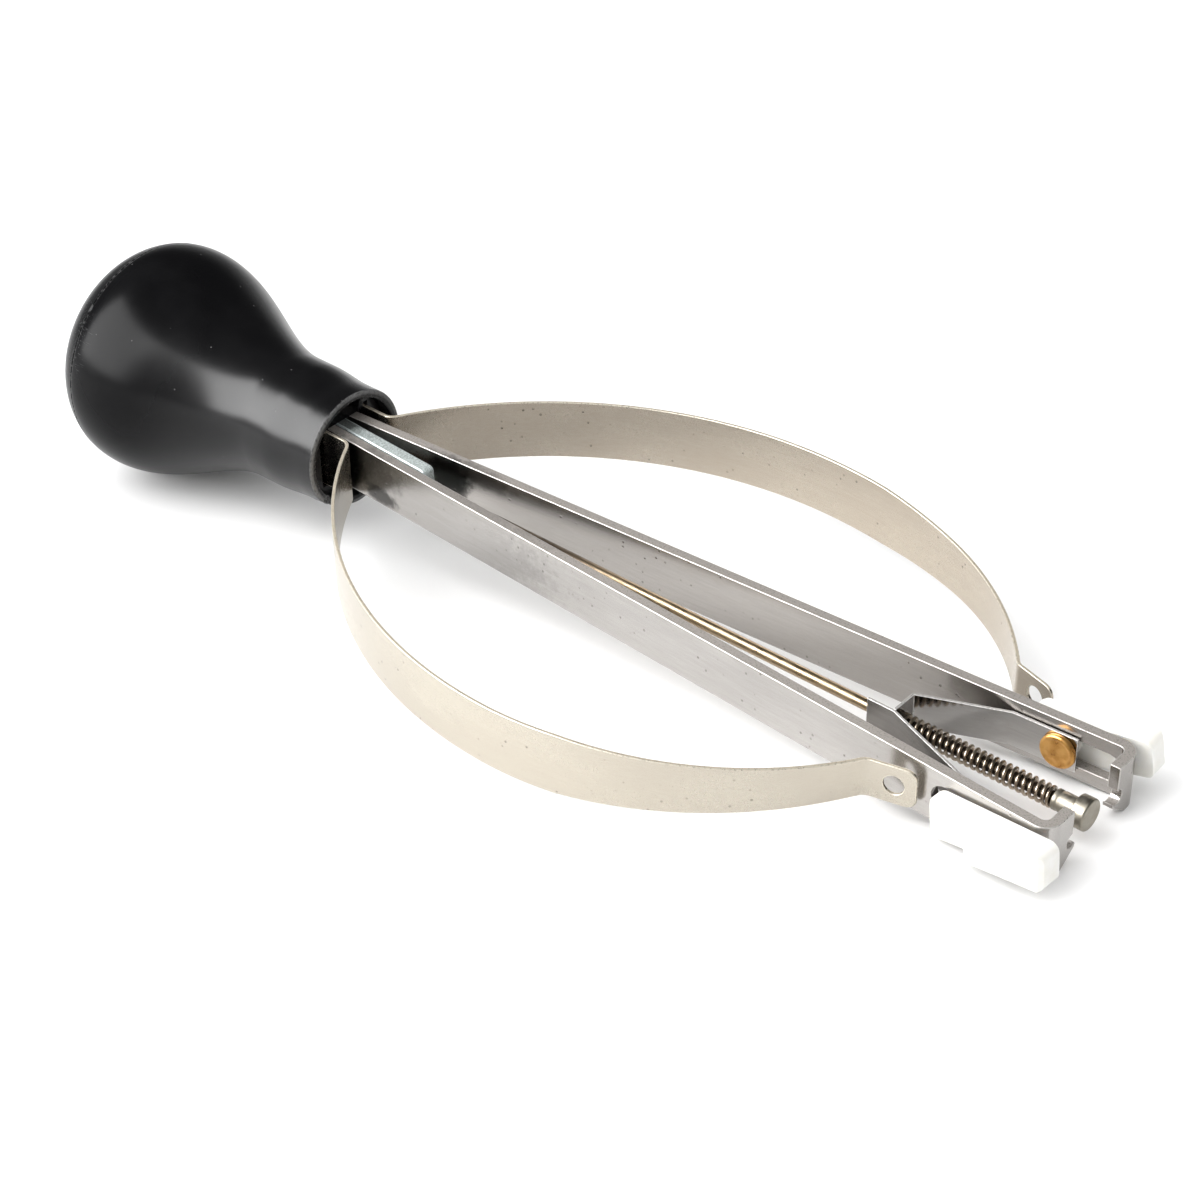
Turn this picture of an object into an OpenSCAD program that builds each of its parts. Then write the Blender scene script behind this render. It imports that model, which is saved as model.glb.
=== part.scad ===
// Bow-spring hand tool: a palm knob carries two slotted bars on edge that spread towards their tips, a bow
// spring on each side, and between the bars a sprung slider train that runs on a guide rod.
// Frame: millimetres, origin at the centre of the knob's mouth, +X along the tool to the bar tips, +Z up.
// Far parts lie at +Y and near parts at -Y. Far parts are drawn first and near parts are their mirror image.

/* [Knob] */
// Radius of the straight land at the knob's mouth
neck_r = 11.3; // [11.1:0.1:11.6]
// Length of that straight land
land_len = 4; // [3:0.5:5]
// Radius of the neck behind the land
grip_r = 11.9; // [11.8:0.1:12.6]
// Radius of the ball
ball_r = 21.9; // [20:0.5:24]
// Distance from the mouth to where the neck starts to swell
swell_start = 16.5; // [15:0.5:19]
// Distance from the mouth to the widest part of the ball
ball_x = 48.5; // [46:0.5:49]
// Distance from the mouth to the back of the knob
knob_len = 63; // [62:0.5:68]
// Distance from the mouth to the seam of the end cap
seam_x = 52; // [51:0.5:53]
// Wall of the moulded knob
wall = 2.6; // [2.2:0.1:3]
// Radius of the socket in the neck
socket_r = 9.7; // [9.6:0.05:9.9]
// Depth of the empty part of the socket, down to the face of the plug
mouth_depth = 2.6; // [2:0.2:4]

/* [Bars] */
// Height of the flat bar, edge to edge
bar_h = 10; // [9.5:0.25:10]
// Thickness of the flat bar
bar_t = 1.9; // [1.7:0.1:2]
// Half the gap between the bars at the knob's mouth
bar_gap = 2; // [1.9:0.05:2.1]
// Angle of each bar to the tool's axis
splay = 3.31; // [3.1:0.01:3.5]
// Distance from the mouth to the front face of the bent tips
tip_x = 155.1; // [154.8:0.1:156]
// Length of the slot in each bar
slot_len = 19.3; // [18:0.1:19.5]
// Height of the slot
slot_h = 5; // [4.8:0.1:5.4]

/* [Bows] */
// Thickness of the bow strip
bow_t = 0.6; // [0.5:0.05:0.7]
// Height of the bow strip over its rear and middle
bow_h = 11.6; // [10:0.2:12]
// Height of the strip at its front tab
tab_h = 7.2; // [6.4:0.2:8]
// Radius of the rear half of each bow
bow_rear_r = 77; // [75:0.5:78]
// Radius of the far bow in front of its belly
far_front_r = 90; // [88:0.5:92]
// Radius of the far bow where it turns in to its tab
far_tip_r = 58; // [56:0.5:60]
// Radius of the near bow from its belly to its tab
near_front_r = 60.5; // [60:0.5:61]
// Radius of the hole in each front tab
eyelet_r = 1.75; // [1.5:0.05:2]

/* [Slider train] */
// Distance from the mouth to the guide web
web_x = 119.5; // [119:0.5:120.5]
// Distance along the far bar to the far rivet
far_rivet_x = 142.6; // [142:0.1:143]
// Distance along the near bar to the near rivet
near_rivet_x = 143.4; // [143:0.1:144]
// Thickness of the leaf strips
leaf_t = 0.5; // [0.4:0.05:0.55]
// Height of the leaf strips
leaf_h = 6.4; // [6:0.2:7]
// Radius of the rivet heads
rivet_head_r = 3.1; // [2.8:0.1:3.2]
// Thickness of the slider blocks over their front
block_t = 4.5; // [4:0.1:4.8]
// Angle by which the far block's nose is tipped up
far_nose_up = 10; // [6:0.5:12]
// Angle by which the near block's nose is tipped up
near_nose_up = 5; // [2:0.5:8]

/* [Guide rod and spring] */
// Radius of the guide rod
rod_r = 1; // [0.9:0.05:1.05]
// Outer radius of the coil spring
coil_r = 1.85; // [1.8:0.05:1.95]
// Radius of the spring wire
wire_r = 0.28; // [0.22:0.02:0.28]
// Number of turns of the coil spring
coil_turns = 25; // [20:1:26]
// Distance from the mouth to the front end of the coil spring
spring_front = 148.4; // [148:0.1:149]
// Radius of the end nut's barrel
barrel_r = 1.75; // [1.5:0.05:1.9]
// Radius of the end nut's head
nut_head_r = 2.7; // [2.4:0.1:2.9]

/* [Hidden] */
$fn = 72;

// Gap left between pieces that are fixed together, and between pieces that run on each other
fixed_gap = 0.04;
running_gap = 0.06;
// How far a cutting tool stands proud of the face it cuts
over = 1;
// Arcs of this radius and more are drawn with shorter steps
big_r = 20;

// Knob
land_end = 12;
ball_power = 2.2;
knob_steps = 18;
seam_chamfer = 0.35;
lip_chamfer = 0.6;
cavity_x = 38;
spigot_len = 4;
spigot_wall = 1.6;
rib_w = 1;
rib_h = 2.2;
rib_turn = 20;

// Plug and pins
plug_back = 34;
plug_r = socket_r - fixed_gap;
pin_r = 1.2;
pin_half = 9.1;
front_pin_x = -8;
rear_pin_x = -24;

// Bars: they lie parallel on the tang inside the plug, then spread from the bend forwards
bar_in = 1.6;
bar_back = -32;
bend_x = -(bar_gap - bar_in) / tan(splay);
tip_bend_r = 2.05;
slot_start = 133.6;
tab_reach = 6.2;
prong_reach = 5.3;
prong_z = -2.4;
prong_foot = 8.6;
notch_r = 1.3;
notch_z = -0.8;

// Tang, rod and end nut
tang_t = 2.5;
tang_front = 20;
tang_round = 1;
rod_y = -0.5;
rod_back = -5;
rod_front = 153.2;
barrel_end = 152.3;
nut_front = 154.7;
nut_round = 0.5;

// Bows: the strip leaves the socket beside the bars, turns out sharply and arches back in
tail_x = -11.5;
tail_y = 5.2;
root_x = 2.5;
root_bend_r = 2.6;
root_turn = 59.4;
far_front = [[far_front_r, -20], [far_tip_r, -32]];
near_front = [[near_front_r, -58.5]];
far_tab = [2, 36.5, 7.6];
near_tab = [2.5, 45, 7.6];
taper_start = 85;
tab_corner_r = 1.8;
tail_clear = 0.45;

// Slider train
leaf_gap = 0.25;
web_y = [-1.9, 3.1];
near_tail = [114.6, 119.6];
far_land_x = 134;
near_land_x = 139.8;
leaf_end = 2.9;
block_gap = 0.43;
block_tail = 8.2;
block_nose = 14.4;
block_top = 3.4;
tail_depth = 4.8;
nose_depth = 3.3;
tail_top_r = 2.3;
nose_top_r = 1.6;
block_foot_r = 1.2;
far_step = -6.8;
near_step = -0.4;
flange_t = 1.9;
block_edge = 0.8;
boss_r = 2.3;
shank_r = 1.5;
shank_cover = 0.5;
head_t = 1;

// Smooth ease from 0 to 1
function ease(t) = t * t * (3 - 2 * t);

// Outer radius of the knob at a distance d behind its mouth
function knob_r(d) =
    d <= land_len ? neck_r :
    d <= land_end ? neck_r + (grip_r - neck_r) * ease((d - land_len) / (land_end - land_len)) :
    d <= swell_start ? grip_r :
    d <= ball_x ? grip_r + (ball_r - grip_r) * ease((d - swell_start) / (ball_x - swell_start)) :
    ball_r * pow(max(0, 1 - pow((d - ball_x) / (knob_len - ball_x), ball_power)), 1 / ball_power);

// Distances from a to b, closing up towards b
function closing(a, b, n) = [for (i = [0 : n]) a + (b - a) * sin(90 * i / n)];
function even(a, b, n) = [for (i = [0 : n]) a + (b - a) * i / n];

// A plan line is walked in legs from [x, y, heading]; a leg is [radius, turn], or [length, 0] when straight
function leg_end(p, leg) =
    leg[1] == 0 ? [p.x + leg[0] * cos(p.z), p.y + leg[0] * sin(p.z), p.z] :
    let (r = sign(leg[1]) * leg[0], h = p.z + leg[1])
        [p.x + r * (sin(h) - sin(p.z)), p.y - r * (cos(h) - cos(p.z)), h];
function leg_steps(leg) = leg[1] == 0 ? 1 : ceil(abs(leg[1]) / (leg[0] < big_r ? 4 : 1.5));
function leg_part(leg, t) = leg[1] == 0 ? [leg[0] * t, 0] : [leg[0], leg[1] * t];
function leg_points(p, leg) =
    let (n = leg_steps(leg)) [for (i = [1 : n]) leg_end(p, leg_part(leg, i / n))];
function walk(p, legs, i = 0) =
    i == len(legs) ? [] : concat(leg_points(p, legs[i]), walk(leg_end(p, legs[i]), legs, i + 1));
function plan(start, legs) = [for (p = concat([start], walk(start, legs))) [p.x, p.y]];

// Mitred side offset of point i of a plan line, for a strip of thickness 1
function along(a, b) = (b - a) / norm(b - a);
function mitre(p, i) =
    let (
        last = len(p) - 1,
        back = i == 0 ? along(p[0], p[1]) : along(p[i - 1], p[i]),
        ahead = i == last ? back : along(p[i], p[i + 1]),
        side = [-back.y - ahead.y, back.x + ahead.x]
    )
    side / (2 * (side * [-back.y, back.x]));
function strip_outline(p, t) = concat(
    [for (i = [0 : len(p) - 1]) p[i] + t * mitre(p, i)],
    [for (i = [len(p) - 1 : -1 : 0]) p[i] - t * mitre(p, i)]
);

// Far bar: height of a line parallel to it, offset outwards from its inner face, at a given x
function bar_line(x, out) = bar_gap + x * tan(splay) + out / cos(splay);

// Strip standing on edge that follows a plan line
module strip(p, t, h) {
    linear_extrude(height = h, center = true) polygon(strip_outline(p, t));
}

// Cylinder along +X, its profile or its ends given in x
module rod_x(r, x0, x1) {
    translate([x0, 0, 0]) rotate([0, 90, 0]) cylinder(r = r, h = x1 - x0);
}

// Cylinder along +Y between two heights
module rod_y(r, y0, y1) {
    translate([0, y0, 0]) rotate([-90, 0, 0]) cylinder(r = r, h = y1 - y0);
}

// Turns a profile of [radius, x] points about the tool's axis
module turned(points) {
    rotate([0, 90, 0]) rotate_extrude($fn = 120) polygon(points);
}

// Places things in the far bar's own frame: x along the bar, y outwards from its outer face
module on_far_bar() {
    translate([0, bar_line(0, bar_t), 0]) rotate([0, 0, splay]) children();
}

module on_near_side() {
    mirror([0, 1, 0]) children();
}

// Knob

module handle_shell() {
    outer = concat(
        [[neck_r, 0]],
        [for (d = even(land_len, land_end, 4)) [knob_r(d), -d]],
        [for (d = even(swell_start, ball_x, knob_steps)) [knob_r(d), -d]],
        [for (d = even(ball_x + 1, seam_x - seam_chamfer, 8)) [knob_r(d), -d]],
        [[knob_r(seam_x) - seam_chamfer, -seam_x]]
    );
    inner = concat(
        [for (d = even(seam_x, cavity_x, 8)) [knob_r(d) - wall, -d]],
        [[socket_r, -cavity_x + wall], [socket_r, -lip_chamfer], [socket_r + lip_chamfer / 2, 0]]
    );
    color("#151517") union() {
        turned(concat(outer, inner));
        // Small rib inside the mouth, beside its top
        rotate([-rib_turn, 0, 0]) translate([-mouth_depth + fixed_gap, -rib_w / 2, socket_r - rib_h])
            cube([mouth_depth - fixed_gap - lip_chamfer, rib_w, rib_h + 0.3]);
    }
}

module end_cap() {
    spigot_r = knob_r(seam_x) - wall - fixed_gap;
    dome = concat(
        [[knob_r(seam_x) - seam_chamfer, -seam_x - fixed_gap]],
        [for (d = closing(seam_x + seam_chamfer, knob_len, 14)) [knob_r(d), -d]]
    );
    hollow = [
        for (d = closing(seam_x + seam_chamfer, knob_len - wall, 12))
        [max(0, (knob_r(seam_x) - wall - spigot_wall)
            * sqrt(max(0, 1 - pow((d - seam_x) / (knob_len - wall - seam_x), 2)))), -d]
    ];
    back_first = [for (i = [len(hollow) - 1 : -1 : 0]) hollow[i]];
    spigot = [
        [spigot_r - spigot_wall, -seam_x + spigot_len],
        [spigot_r, -seam_x + spigot_len],
        [spigot_r, -seam_x - fixed_gap]
    ];
    color("#18181a") turned(concat(dome, back_first, spigot));
}

module core_plug() {
    slot_half = bar_line(-mouth_depth, bar_t) + fixed_gap;
    color("#222224") difference() {
        rod_x(plug_r, -plug_back, -mouth_depth);
        translate([-plug_back - over, -slot_half, -bar_h / 2 - fixed_gap])
            cube([plug_back + over, 2 * slot_half, bar_h + 2 * fixed_gap]);
        for (side = [-1, 1])
            translate([tail_x - tail_clear, side * tail_y - bow_t / 2 - tail_clear, -bow_h / 2 - tail_clear])
                cube([plug_back, bow_t + 2 * tail_clear, bow_h + 2 * tail_clear]);
        for (x = [front_pin_x, rear_pin_x])
            translate([x, 0, 0]) rod_y(pin_r + fixed_gap, -plug_r - over, plug_r + over);
    }
}

module anchor_pins() {
    color("#9a9c9e") for (x = [front_pin_x, rear_pin_x])
        translate([x, 0, 0]) rod_y(pin_r, -pin_half, pin_half);
}

// Tang and bars

module pin_holes() {
    for (x = [front_pin_x, rear_pin_x])
        translate([x, 0, 0]) rod_y(pin_r + fixed_gap, -plug_r, plug_r);
}

module tang_plate() {
    // The tang turns with the near bar at the bend, so its gap to the far bar widens forwards
    line = [[bar_back, 0], [bend_x, 0], [tang_front, (bend_x - tang_front) * tan(splay)]];
    color("#b9c4c6") difference() {
        strip(line, tang_t, bar_h);
        pin_holes();
        translate([0, rod_y, 0]) rod_x(rod_r + fixed_gap, rod_back - fixed_gap, tang_front + over);
        // Round top and bottom corners of the front end
        for (flip = [0, 1])
            mirror([0, 0, flip]) translate([tang_front - tang_round, 0, bar_h / 2 - tang_round])
                rotate([90, 0, 0]) linear_extrude(height = 4 * tang_t, center = true)
                    difference() {
                        square(tang_round + over);
                        circle(r = tang_round);
                    }
    }
}

// Cuts that shape the bent tip of the far bar, seen along X
module tip_cuts() {
    translate([tip_x - 2 * bar_t, 0, 0]) rotate([90, 0, 90]) linear_extrude(height = 2 * bar_t + over) {
        translate([0, notch_z]) square([tab_reach, bar_h]);
        translate([tab_reach + 0.1, notch_z]) circle(r = notch_r);
        polygon([
            [0, prong_z], [prong_reach, prong_z], [prong_foot, -bar_h / 2 + 0.2],
            [prong_foot + 0.8, -bar_h / 2 - over], [0, -bar_h / 2 - over]
        ]);
    }
}

module bar_shape() {
    bend_start = tip_x - bar_t / 2 - tip_bend_r * (1 + sin(splay));
    centre_y = bar_line(bend_start, bar_t / 2);
    start = [bend_start, centre_y, splay];
    bend = walk(start, [[tip_bend_r, -90 - splay]]);
    drop = bend[len(bend) - 1].y - prong_reach;
    line = concat(
        [[bar_back, bar_in + bar_t / 2], [bend_x, bar_in + bar_t / 2]],
        plan(start, [[tip_bend_r, -90 - splay], [drop, 0]])
    );
    difference() {
        strip(line, bar_t, bar_h);
        pin_holes();
        tip_cuts();
        on_far_bar() for (x = [slot_start + slot_h / 2, slot_start + slot_len - slot_h / 2])
            translate([x, 0, 0]) rod_y(slot_h / 2, -bar_t - 0.4, over);
        on_far_bar() translate([slot_start + slot_h / 2, -bar_t - 0.4, -slot_h / 2])
            cube([slot_len - slot_h, bar_t + 0.4 + over, slot_h]);
    }
}

module far_bar() {
    color("#a9a9a8") bar_shape();
}

module near_bar() {
    color("#a9a9a8") on_near_side() bar_shape();
}

// Bows

// front is the list of arcs from the belly to the tab; tab is its bend radius, its turn and its length
function bow_legs(front, tab) = concat(
    [[root_x - tail_x, 0], [root_bend_r, root_turn], [bow_rear_r, -root_turn]],
    front,
    [[tab[0], tab[1]], [tab[2], 0]]
);

// Side outline of a bow, seen along Y: full height, a taper to the tab, and rounded tab corners
module bow_side(tab_x, end_x) {
    taper = [[tail_x - over, bow_h / 2], [taper_start, bow_h / 2], [tab_x, tab_h / 2]];
    corner = [
        for (a = [90 : -15 : 0])
        [end_x - tab_corner_r + tab_corner_r * cos(a), tab_h / 2 - tab_corner_r + tab_corner_r * sin(a)]
    ];
    upper = concat(taper, corner);
    lower = [for (i = [len(upper) - 1 : -1 : 0]) [upper[i].x, -upper[i].y]];
    rotate([90, 0, 0]) linear_extrude(height = 4 * ball_r, center = true) polygon(concat(upper, lower));
}

module bow_shape(front, tab) {
    stations = concat([[tail_x, tail_y, 0]], walk([tail_x, tail_y, 0], bow_legs(front, tab)));
    line = [for (p = stations) [p.x, p.y]];
    last = len(line) - 1;
    tip = line[last];
    tab_root = line[last - 1];
    middle = (tip + tab_root) / 2;
    heading = stations[last].z;
    difference() {
        intersection() {
            strip(line, bow_t, bow_h);
            translate([0, ball_r, 0]) bow_side(tab_root.x - 2, tip.x);
        }
        translate([middle.x, middle.y, 0]) rotate([0, 0, heading]) rod_y(eyelet_r, -over, over);
        translate([front_pin_x, tail_y, 0]) rod_y(pin_r + tail_clear, -over, over);
    }
}

module far_bow() {
    color("#c3b8a2") bow_shape(far_front, far_tab);
}

module near_bow() {
    color("#c3b8a2") on_near_side() bow_shape(near_front, near_tab);
}

// Slider train

module rivet_hole(x) {
    on_far_bar() translate([x, 0, 0])
        rod_y(shank_r + fixed_gap, -bar_t - leaf_gap - leaf_t - over, -bar_t);
}

module far_leaf() {
    flat = -leaf_gap - leaf_t / 2;
    end_x = far_rivet_x + leaf_end;
    line = [
        [web_x, web_y[0]], [web_x, web_y[1]],
        [far_land_x, bar_line(far_land_x, flat)], [end_x, bar_line(end_x, flat)]
    ];
    color("#8f8d88") difference() {
        strip(line, leaf_t, leaf_h);
        rivet_hole(far_rivet_x);
        translate([0, rod_y, 0]) rod_x(rod_r + running_gap, web_x - over, web_x + over);
    }
}

module near_leaf() {
    flat = -leaf_gap - leaf_t / 2;
    web_side = -web_y[0] + leaf_t / 2 + fixed_gap;
    end_x = near_rivet_x + leaf_end;
    line = [
        [near_tail[0], web_side], [near_tail[1], web_side],
        [near_land_x, bar_line(near_land_x, flat)], [end_x, bar_line(end_x, flat)]
    ];
    color("#8f8d88") on_near_side() difference() {
        strip(line, leaf_t, leaf_h);
        rivet_hole(near_rivet_x);
    }
}

// Rivet: its shank ends blind in the slider block and its domed head holds the leaf
module rivet_shape(x) {
    seat = -bar_t - leaf_gap - leaf_t - fixed_gap;
    on_far_bar() translate([x, 0, 0]) {
        rod_y(shank_r, seat - 0.1, block_gap + flange_t - shank_cover);
        translate([0, seat, 0]) rotate([90, 0, 0]) rotate_extrude()
            polygon([
                [0, 0], [rivet_head_r, 0], [rivet_head_r, head_t * 0.5],
                [rivet_head_r - 0.5, head_t * 0.85], [rivet_head_r * 0.45, head_t], [0, head_t]
            ]);
    }
}

module far_rivet() {
    color("#b9852f") rivet_shape(far_rivet_x);
}

module near_rivet() {
    color("#b9852f") on_near_side() rivet_shape(near_rivet_x);
}

// Quarter of a circle about c as a list of points, turning clockwise from the angle a
function corner(c, r, a) = [for (i = [0 : 6]) c + r * [cos(a - 15 * i), sin(a - 15 * i)]];

// Side outline of a slider block about its rivet, nose to the right
module block_side() {
    polygon(concat(
        corner([-block_tail + tail_top_r, block_top - tail_top_r], tail_top_r, 180),
        corner([block_nose - nose_top_r, block_top - nose_top_r], nose_top_r, 90),
        corner([block_nose - block_foot_r, block_foot_r - nose_depth], block_foot_r, 0),
        corner([block_foot_r - block_tail, block_foot_r - tail_depth], block_foot_r, -90)
    ));
}

// Plan outline of a slider block about its rivet: a thin flange at the back, and a thick front from the step on
module block_plan(step) {
    outer = block_gap + block_t;
    flange = block_gap + flange_t;
    polygon([
        [-block_tail - over, block_gap], [block_nose + over, block_gap],
        [block_nose + over, outer - block_edge - over], [block_nose - block_edge, outer],
        [step + block_edge, outer], [step, outer - block_edge],
        [step, flange], [-block_tail - over, flange]
    ]);
}

// Slider block: it stands on the bar's outer face, and its round boss fills the height of the slot
module block_shape(x, nose_up, step) {
    on_far_bar() translate([x, 0, 0]) difference() {
        union() {
            rotate([0, -nose_up, 0]) intersection() {
                linear_extrude(height = 4 * block_tail, center = true) block_plan(step);
                rotate([90, 0, 0]) linear_extrude(height = 4 * block_t, center = true) block_side();
            }
            rod_y(boss_r, -bar_t - leaf_gap + 0.08, block_gap + 0.1);
        }
        rod_y(shank_r + fixed_gap, -bar_t - over, block_gap + flange_t - shank_cover + fixed_gap);
    }
}

module far_slider() {
    color("#f1efe8") block_shape(far_rivet_x, far_nose_up, far_step);
}

module near_slider() {
    color("#f1efe8") on_near_side() block_shape(near_rivet_x, near_nose_up, near_step);
}

// Guide rod, coil spring and end nut

module guide_rod() {
    color("#b08a52") translate([0, rod_y, 0]) rod_x(rod_r, rod_back, rod_front);
}

module coil_spring() {
    wire_sides = 6;
    turn_steps = 14;
    n = coil_turns * turn_steps;
    back = web_x + leaf_t / 2 + wire_r + fixed_gap;
    front = spring_front - wire_r - fixed_gap;
    mean_r = coil_r - wire_r;
    function coil_x(i) = back + (front - back) * i / n;
    function wire_point(i, k) =
        let (a = 360 * i / turn_steps, b = 360 * k / wire_sides, r = mean_r + wire_r * cos(b))
            [coil_x(i) + wire_r * sin(b), r * cos(a), r * sin(a)];
    points = [for (i = [0 : n]) for (k = [0 : wire_sides - 1]) wire_point(i, k)];
    sides = [
        for (i = [0 : n - 1]) for (k = [0 : wire_sides - 1])
        let (a = i * wire_sides + k, b = i * wire_sides + (k + 1) % wire_sides)
        [a, b, b + wire_sides, a + wire_sides]
    ];
    start_face = [for (k = [wire_sides - 1 : -1 : 0]) k];
    end_face = [for (k = [0 : wire_sides - 1]) n * wire_sides + k];
    color("#8b857a") translate([0, rod_y, 0])
        polyhedron(points = points, faces = concat(sides, [start_face, end_face]), convexity = 10);
}

module end_nut() {
    color("#b3aea4") translate([0, rod_y, 0]) difference() {
        turned([
            [0, spring_front], [barrel_r - 0.2, spring_front], [barrel_r, spring_front + 0.2],
            [barrel_r, barrel_end], [nut_head_r - 0.2, barrel_end], [nut_head_r, barrel_end + 0.2],
            [nut_head_r, nut_front - nut_round], [nut_head_r - nut_round, nut_front], [0, nut_front]
        ]);
        rod_x(rod_r + fixed_gap, spring_front - over, rod_front + fixed_gap);
    }
}

handle_shell();
end_cap();
core_plug();
anchor_pins();
tang_plate();
far_bar();
near_bar();
far_bow();
near_bow();
far_leaf();
near_leaf();
far_rivet();
near_rivet();
far_slider();
near_slider();
guide_rod();
coil_spring();
end_nut();
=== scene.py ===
"""Looks of the bow-spring hand tool: a scuffed black knob, two slotted steel bars, two bow springs
and the sprung slider train between the bars. Lengths are in millimetres unless metres are named."""

import math

import bmesh
import bpy
from mathutils import Matrix, Vector, noise


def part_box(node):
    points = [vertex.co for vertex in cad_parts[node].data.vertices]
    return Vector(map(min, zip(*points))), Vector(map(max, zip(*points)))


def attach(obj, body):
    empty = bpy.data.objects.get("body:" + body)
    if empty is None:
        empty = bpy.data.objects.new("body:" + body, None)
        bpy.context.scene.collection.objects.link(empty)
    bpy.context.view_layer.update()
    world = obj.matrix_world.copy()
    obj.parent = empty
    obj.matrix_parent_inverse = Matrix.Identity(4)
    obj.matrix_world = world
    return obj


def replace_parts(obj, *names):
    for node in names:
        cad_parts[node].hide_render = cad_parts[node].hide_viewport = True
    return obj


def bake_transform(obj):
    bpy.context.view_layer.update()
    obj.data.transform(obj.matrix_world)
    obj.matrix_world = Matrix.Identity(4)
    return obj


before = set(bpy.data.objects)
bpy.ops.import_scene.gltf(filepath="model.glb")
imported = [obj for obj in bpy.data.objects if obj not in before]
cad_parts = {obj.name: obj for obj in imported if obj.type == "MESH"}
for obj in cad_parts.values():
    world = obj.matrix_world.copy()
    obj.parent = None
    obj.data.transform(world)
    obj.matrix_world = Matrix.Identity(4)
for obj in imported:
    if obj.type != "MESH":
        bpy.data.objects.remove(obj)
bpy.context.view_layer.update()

MM = 0.001

# Knob: radii, wall thicknesses, and distances behind the mouth
NECK_R = 11.3
GRIP_R = 11.9
SOCKET_R = 9.7
LAND_LEN = 4.0
LAND_END = 12.0
SWELL_START = 16.5
BALL_X = 48.5
BALL_POWER = 2.2
WALL = 2.6
CAVITY_X = 38.0
RIM_ROUND = 0.35
SEAM_ROUND = 0.16
SEAM_WIDTH = 0.45
CAP_GAP = 0.04
SPIGOT_LEN = 4.0
SPIGOT_WALL = 1.6
RING_STEPS = 240

# Rib inside the top of the mouth: length, width and height, how far in it starts, how deep it sits
# in the wall, its rounding, and its turn
RIB_SIZE = (1.9, 1.0, 2.4)
RIB_START = 0.6
RIB_SUNK = 0.2
RIB_ROUND = 0.25
RIB_TURN = math.radians(-20)

# The broken stretch of the rim: its middle and half width in degrees round the tool, its depth,
# how far in it reaches and over what length it fades out
CHIP_ANGLE = 240
CHIP_HALF_WIDTH = 34
CHIP_DEPTH = 1.3
CHIP_REACH = 3.2
CHIP_FADE = 2.4

# Scuffs on the rear upper side of the ball, and torn plastic at the broken rim: middle and reach
SCUFF_PLACE = (-54, -15, 9)
SCUFF_REACH = (7, 9, 9)
TEAR_PLACE = (-1.5, -6.5, -9)
TEAR_REACH = (4, 6, 4.5)

# Bars, leaves and rivets
SPLAY = math.radians(3.31)
BAR_GAP = 2.0
BAR_THICK = 1.9
RIVET_ALONG = {"near": 143.4, "far": 142.6}
LEAF_GAP = 0.25
LEAF_THICK = 0.5
BLOCK_GAP = 0.43
FLANGE_THICK = 1.9
HEAD_R = 3.1
HEAD_THICK = 1.0
SHANK_R = 1.5
SHANK_COVER = 0.5
SEAT_GAP = 0.04

# Radius of the rounded corners on the pieces made from their CAD solids
ROUNDING = {
    "plug": 0.25,
    "pins": 0.2,
    "bar": 0.15,
    "tang": 0.35,
    "bow": 0.14,
    "leaf": 0.1,
    "slider": 0.35,
}

# Edges shorter than this are closed up before the corners are rounded
SHORT_EDGE = 0.04
SHORT_TANG_EDGE = 0.08

# Faces thinner than this are dropped, and turned rings smaller than this become a point
SLIVER = 0.001
POINT_R = 0.001

# Coil spring
COIL_TURNS = 25
WIRE_R = 0.28
COIL_STEPS = 40
WIRE_SIDES = 12
CLOSED_TURNS = 1.2
CLOSED_PITCH = 2.1 * WIRE_R

# Nut: barrel and bore radii, place of the bore's end, length of the head, and radius of the crimped
# groove
NUT_BARREL_R = 1.75
NUT_BORE_R = 1.04
NUT_BORE_END = 153.24
NUT_HEAD_LEN = 2.4
NUT_CRIMP_R = 0.5

# Floor: the ball and the lower corners of the bar tips stand on it, so it is tilted to the tool's axis
FLOOR_TILT = math.radians(4.77)

# Even fill light from all round, and the room seen in reflections: at the horizon and above
FILL_LIGHT = 0.66
ROOM_HORIZON = 0.7
ROOM_ABOVE = 0.06
ROOM_ABOVE_Z = 0.3

# Softboxes: direction from the tool, distance, width and height in metres, and watts
KEY_SOFTBOX = ((-0.53, -0.60, 0.60), 0.95, 0.84, 1.45, 15.0)
HIGHLIGHT_CARD = ((-0.47, -0.70, 0.50), 0.75, 0.70, 0.72, 27.0)
OVERHEAD = ((0.15, 0.1, 1.0), 1.1, 1.6, 1.6, 8.0)

# Half the side of the table top, in metres
TABLE_HALF = 3.0

# Camera: viewing direction in degrees, distance and target in millimetres
VIEW_AZIMUTH = 41.185
VIEW_ELEVATION = 36.73
VIEW_ROLL = -0.937
VIEW_DISTANCE = 506.4
VIEW_TARGET = (39.0, 21.14, -27.26)
VIEW_LENS = 83.56


# ---------------------------------------------------------------- materials


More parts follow.
